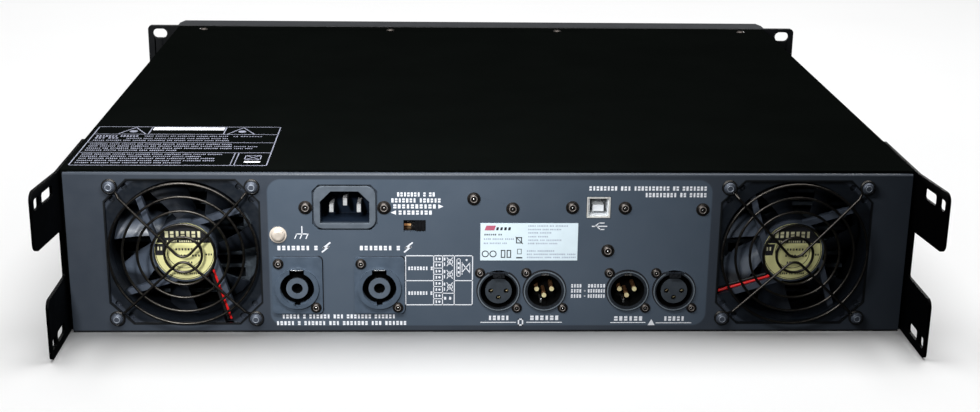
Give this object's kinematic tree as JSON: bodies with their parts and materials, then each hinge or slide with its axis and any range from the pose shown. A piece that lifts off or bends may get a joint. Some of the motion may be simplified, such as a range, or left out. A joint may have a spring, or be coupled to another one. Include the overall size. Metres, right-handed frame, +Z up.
{
  "type": "power amplifier",
  "caption": "Rack power amplifier box with rear fans, round speaker sockets, audio connectors, mains inlet, rear brackets and a front panel with controls.",
  "frame": {"origin": "centre of the footprint, on the surface that the amplifier stands on", "axes": "+X to the right seen from the front (the rack width), +Y from the front panel towards the rear panel, +Z up"},
  "size_m": [0.4826, 0.459, 0.0892],
  "materials": {
    "panel_paint": "satin powder coat, slate blue-grey",
    "cover_paint": "satin black powder coat",
    "front_paint": "satin black",
    "bezel_plastic": "fine moulded texture",
    "grille_steel": "satin black",
    "filter_foam": "open-cell foam",
    "bracket_paint": "satin black powder coat",
    "black_screw": "black zinc",
    "bright_screw": "bright zinc",
    "fan_plastic": "glass-filled moulding",
    "rotor_plastic": "moulded",
    "guard_wire": "dark nickel plated wire",
    "hub_label": "printed film",
    "lead_red": "insulation",
    "lead_black": "insulation",
    "inlet_plastic": "moulded",
    "contact_metal": "nickel plated",
    "lever_plastic": "moulded",
    "speaker_plastic": "glass-filled moulding, grey-blue",
    "xlr_shell": "moulded",
    "latch_metal": "nickel plated",
    "pin_gold": "gold plated",
    "usb_metal": "tin plated",
    "usb_plastic": "moulded",
    "label_film": "printed film",
    "board_green": "solder mask",
    "standoff_brass": "turned",
    "heat_sink": "extruded, clear anodised",
    "transistor_plastic": "moulded",
    "toroid_wrap": "wound tape",
    "can_sleeve": "shrink sleeve",
    "rocker_plastic": "moulded",
    "knob_plastic": "soft-touch moulding",
    "lamp_lens": "diffused"
  },
  "bodies": {
    "body": {"air_filter_left": "filter_foam", "air_filter_right": "filter_foam", "amplifier_board": "board_green", "base_chassis": "cover_paint", "board_standoffs": "standoff_brass", "bracket_screws": "black_screw", "fan_frame_left": "fan_plastic", "fan_frame_right": "fan_plastic", "fan_guard_left": "guard_wire", "fan_guard_right": "guard_wire", "fan_hub_labels": "hub_label", "fan_lead_black": "lead_black", "fan_lead_red": "lead_red", "fan_screws": "black_screw", "front_bezel": "bezel_plastic", "front_board": "board_green", "front_plate": "front_paint", "gain_pots": "contact_metal", "grille_left": "grille_steel", "grille_right": "grille_steel", "ground_screw": "bright_screw", "ground_switch_body": "inlet_plastic", "heat_sink_left": "heat_sink", "heat_sink_right": "heat_sink", "input_board": "board_green", "lamp_lenses": "lamp_lens", "mains_inlet": "inlet_plastic", "mains_inlet_blades": "contact_metal", "mains_inlet_screws": "black_screw", "output_transistors": "transistor_plastic", "power_switch_frame": "rocker_plastic", "rating_label": "label_film", "rear_bracket_left": "bracket_paint", "rear_bracket_right": "bracket_paint", "rear_panel": "panel_paint", "rear_panel_screws": "black_screw", "reservoir_capacitors": "can_sleeve", "speaker_cores": "speaker_plastic", "speaker_screws": "black_screw", "speaker_sockets": "speaker_plastic", "top_cover": "cover_paint", "top_cover_screws": "black_screw", "transformer": "toroid_wrap", "transformer_clamp": "contact_metal", "usb_port": "usb_metal", "usb_tongue": "usb_plastic", "xlr_input_inserts": "xlr_shell", "xlr_input_shells": "xlr_shell", "xlr_output_a": "xlr_shell", "xlr_output_b": "xlr_shell", "xlr_pins": "pin_gold", "xlr_screws": "black_screw"},
    "fan_left": {"fan_rotor_left": "rotor_plastic"},
    "fan_right": {"fan_rotor_right": "rotor_plastic"},
    "gain_a": {"gain_knob_a": "knob_plastic"},
    "gain_b": {"gain_knob_b": "knob_plastic"},
    "rocker": {"power_rocker": "rocker_plastic"},
    "ground_slider": {"ground_switch_slider": "lever_plastic"},
    "latch_a": {"xlr_latch_a": "latch_metal"},
    "latch_b": {"xlr_latch_b": "latch_metal"}
  },
  "joints": [
    {"name": "fan_spin_left", "type": "hinge", "parent": "body", "child": "fan_left", "pos_m": [-0.1575, 0.1765, 0.0438], "axis": [0, 1, 0], "continuous": true},
    {"name": "fan_spin_right", "type": "hinge", "parent": "body", "child": "fan_right", "pos_m": [0.1575, 0.1765, 0.0438], "axis": [0, 1, 0], "continuous": true},
    {"name": "gain_turn_a", "type": "hinge", "parent": "body", "child": "gain_a", "pos_m": [-0.034, -0.22, 0.044], "axis": [0, 1, 0], "range_deg": [-150, 150]},
    {"name": "gain_turn_b", "type": "hinge", "parent": "body", "child": "gain_b", "pos_m": [0.004, -0.22, 0.044], "axis": [0, 1, 0], "range_deg": [-150, 150]},
    {"name": "power_rocker_tilt", "type": "hinge", "parent": "body", "child": "rocker", "pos_m": [0.046, -0.211, 0.044], "axis": [1, 0, 0], "range_deg": [-20, 0]},
    {"name": "ground_switch_slide", "type": "slide", "parent": "body", "child": "ground_slider", "axis": [1, 0, 0], "range_m": [0, 0.0056]},
    {"name": "latch_press_a", "type": "slide", "parent": "body", "child": "latch_a", "axis": [0, 1, 0], "range_m": [-0.0015, 0], "stiffness_N_per_m": 400},
    {"name": "latch_press_b", "type": "slide", "parent": "body", "child": "latch_b", "axis": [0, 1, 0], "range_m": [-0.0015, 0], "stiffness_N_per_m": 400}
  ]
}
